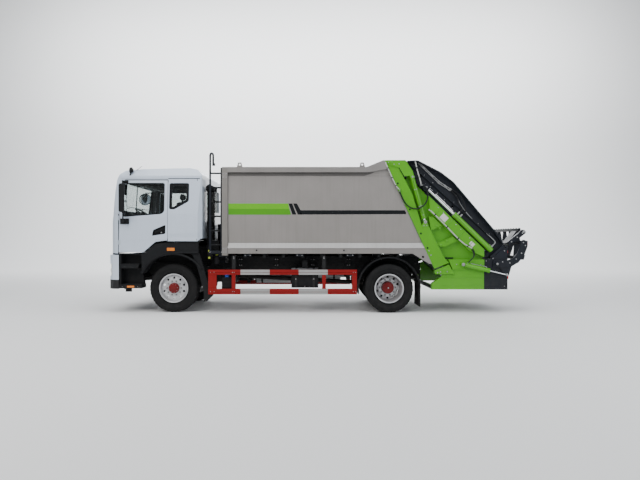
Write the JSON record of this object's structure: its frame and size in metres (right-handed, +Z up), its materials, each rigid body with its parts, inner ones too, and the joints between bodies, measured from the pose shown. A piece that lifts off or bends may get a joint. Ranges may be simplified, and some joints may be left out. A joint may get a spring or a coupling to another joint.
{
  "type": "rear-loading garbage truck",
  "caption": "Two-axle cab-over rear-loading compactor garbage truck with a grey body, green lifting tailgate, sloped packing slide and a bin lifter.",
  "frame": {"origin": "on the ground, under the middle of the truck's box", "axes": "+X towards the rear, -Y the truck's left side, +Z up"},
  "size_m": [8.9524, 2.896, 3.3509],
  "materials": {
    "body_grey": "satin",
    "cab_white": "gloss",
    "chassis_black": "satin",
    "chrome": "polished",
    "dark_navy": "satin",
    "dark_plastic": "matte",
    "glass": "gloss",
    "green": "gloss",
    "guard": "gloss",
    "interior": "matte",
    "iron": "matte",
    "lamp": "gloss",
    "red_lamp": "gloss",
    "rim": "satin",
    "seat_fabric": "matte",
    "tank": "satin",
    "tyre": "matte"
  },
  "bodies": {
    "chassis": {"chassis_frame": "chassis_black", "subframe": "chassis_black", "front_axle": "iron", "leaf_springs": "iron", "rear_axle": "iron", "engine": "iron", "bumper": "cab_white", "headlamps": "lamp", "cab_steps": "dark_plastic", "front_fenders": "dark_plastic", "rear_fenders": "dark_plastic", "side_guards": "guard", "tanks_silencer": "tank", "loop_hose": "dark_plastic", "ladder": "dark_navy", "air_intake": "dark_plastic", "oil_tank": "dark_navy", "body_floor": "body_grey", "body_sides": "body_grey", "body_roof": "body_grey", "body_front": "body_grey", "rear_frame": "green"},
    "cab": {"cab_shell": "cab_white", "front_panel": "cab_white", "cab_floor": "interior", "cab_glass": "glass", "dashboard": "interior", "seats": "seat_fabric", "steering_wheel": "interior"},
    "door_l": {"door_left": "cab_white", "door_glass_left": "glass", "mirror_left": "dark_plastic"},
    "door_r": {"door_right": "cab_white", "door_glass_right": "glass", "mirror_right": "dark_plastic"},
    "knuckle_l": {"knuckle_left": "iron"},
    "knuckle_r": {"knuckle_right": "iron"},
    "wheel_fl": {"tyre_front_left": "tyre", "rim_front_left": "rim"},
    "wheel_fr": {"tyre_front_right": "tyre", "rim_front_right": "rim"},
    "wheel_rl": {"tyre_rear_left": "tyre", "rim_rear_left": "rim"},
    "wheel_rr": {"tyre_rear_right": "tyre", "rim_rear_right": "rim"},
    "tailgate": {"tailgate_sides": "green", "tailgate_frame": "dark_navy", "hopper": "dark_navy", "tail_lamps": "red_lamp", "slide_barrels": "green"},
    "lift_barrel": {"lift_barrels": "green"},
    "lift_rod": {"lift_rods": "chrome"},
    "packer": {"slide": "dark_navy", "slide_rods": "chrome"},
    "scraper": {"scraper": "dark_navy"},
    "scraper_barrel": {"scraper_barrels": "green"},
    "scraper_rod": {"scraper_rods": "chrome"},
    "bin_lifter": {"lifter": "dark_navy"},
    "lifter_barrel": {"lifter_barrels": "green"},
    "lifter_rod": {"lifter_rods": "chrome"}
  },
  "joints": [
    {"name": "steer_left", "type": "hinge", "parent": "chassis", "child": "knuckle_l", "pos_m": [-2.9235, -0.84, 0.506], "axis": [0, 0, 1], "range_deg": [-35, 35]},
    {"name": "steer_right", "type": "hinge", "parent": "chassis", "child": "knuckle_r", "pos_m": [-2.9235, 0.84, 0.506], "axis": [0, 0, 1], "range_deg": [-35, 35]},
    {"name": "spin_front_left", "type": "hinge", "parent": "knuckle_l", "child": "wheel_fl", "pos_m": [-2.9235, -1, 0.506], "axis": [0, 1, 0], "continuous": true},
    {"name": "spin_front_right", "type": "hinge", "parent": "knuckle_r", "child": "wheel_fr", "pos_m": [-2.9235, 1, 0.506], "axis": [0, 1, 0], "continuous": true},
    {"name": "spin_rear_left", "type": "hinge", "parent": "chassis", "child": "wheel_rl", "pos_m": [1.5765, -0.93, 0.506], "axis": [0, 1, 0], "continuous": true},
    {"name": "spin_rear_right", "type": "hinge", "parent": "chassis", "child": "wheel_rr", "pos_m": [1.5765, 0.93, 0.506], "axis": [0, 1, 0], "continuous": true},
    {"name": "cab_tilt", "type": "hinge", "parent": "chassis", "child": "cab", "pos_m": [-4.2335, 0, 1.26], "axis": [0, -1, 0], "range_deg": [0, 50]},
    {"name": "door_left_swing", "type": "hinge", "parent": "cab", "child": "door_l", "pos_m": [-4.0365, -1.21, 1.9], "axis": [0, 0, -1], "range_deg": [0, 68]},
    {"name": "door_right_swing", "type": "hinge", "parent": "cab", "child": "door_r", "pos_m": [-4.0365, 1.21, 1.9], "axis": [0, 0, 1], "range_deg": [0, 68]},
    {"name": "tailgate_lift", "type": "hinge", "parent": "chassis", "child": "tailgate", "pos_m": [1.6085, 0, 3.128], "axis": [0, -1, 0], "range_deg": [0, 80], "deforming": ["loop_hose"]},
    {"name": "lift_barrel_swing", "type": "hinge", "parent": "tailgate", "child": "lift_barrel", "pos_m": [2.0565, 0, 2.824], "axis": [0, -1, 0], "range_deg": [-85.26, 1]},
    {"name": "lift_rod_slide", "type": "slide", "parent": "lift_barrel", "child": "lift_rod", "axis": [0.2769, 0, -0.9609], "range_m": [0, 0.69254]},
    {"name": "packer_slide", "type": "slide", "parent": "tailgate", "child": "packer", "axis": [0.7193, 0, -0.6947], "range_m": [0, 0.65]},
    {"name": "scraper_swing", "type": "hinge", "parent": "packer", "child": "scraper", "pos_m": [2.9085, 0, 1.702], "axis": [0, -1, 0], "range_deg": [0, 98]},
    {"name": "scraper_barrel_swing", "type": "hinge", "parent": "packer", "child": "scraper_barrel", "pos_m": [2.56185, 0, 2.59956], "axis": [0, -1, 0], "range_deg": [0, 3.59]},
    {"name": "scraper_rod_slide", "type": "slide", "parent": "scraper_barrel", "child": "scraper_rod", "axis": [0.4876, 0, -0.8731], "range_m": [-0.36157, 0]},
    {"name": "lifter_swing", "type": "hinge", "parent": "tailgate", "child": "bin_lifter", "pos_m": [3.8065, 0, 1.02], "axis": [0, -1, 0], "range_deg": [-65, 50]},
    {"name": "lifter_barrel_swing", "type": "hinge", "parent": "tailgate", "child": "lifter_barrel", "pos_m": [3.0945, 0, 1.009], "axis": [0, -1, 0], "range_deg": [-14.71, 11.55]},
    {"name": "lifter_rod_slide", "type": "slide", "parent": "lifter_barrel", "child": "lifter_rod", "axis": [0.9735, 0, -0.2286], "range_m": [-0.20652, 0.15933]}
  ],
  "couplings": [
    {"joint": "steer_right", "follows": "steer_left", "ratio": 1},
    {"joint": "lift_barrel_swing", "follows": "tailgate_lift", "ratio": -1.0533},
    {"joint": "lift_rod_slide", "follows": "tailgate_lift", "m_per_rad": 0.49385},
    {"joint": "scraper_barrel_swing", "follows": "scraper_swing", "ratio": 0.031569},
    {"joint": "scraper_rod_slide", "follows": "scraper_swing", "m_per_rad": -0.20964},
    {"joint": "lifter_barrel_swing", "follows": "lifter_swing", "ratio": 0.21095},
    {"joint": "lifter_rod_slide", "follows": "lifter_swing", "m_per_rad": 0.18028}
  ]
}
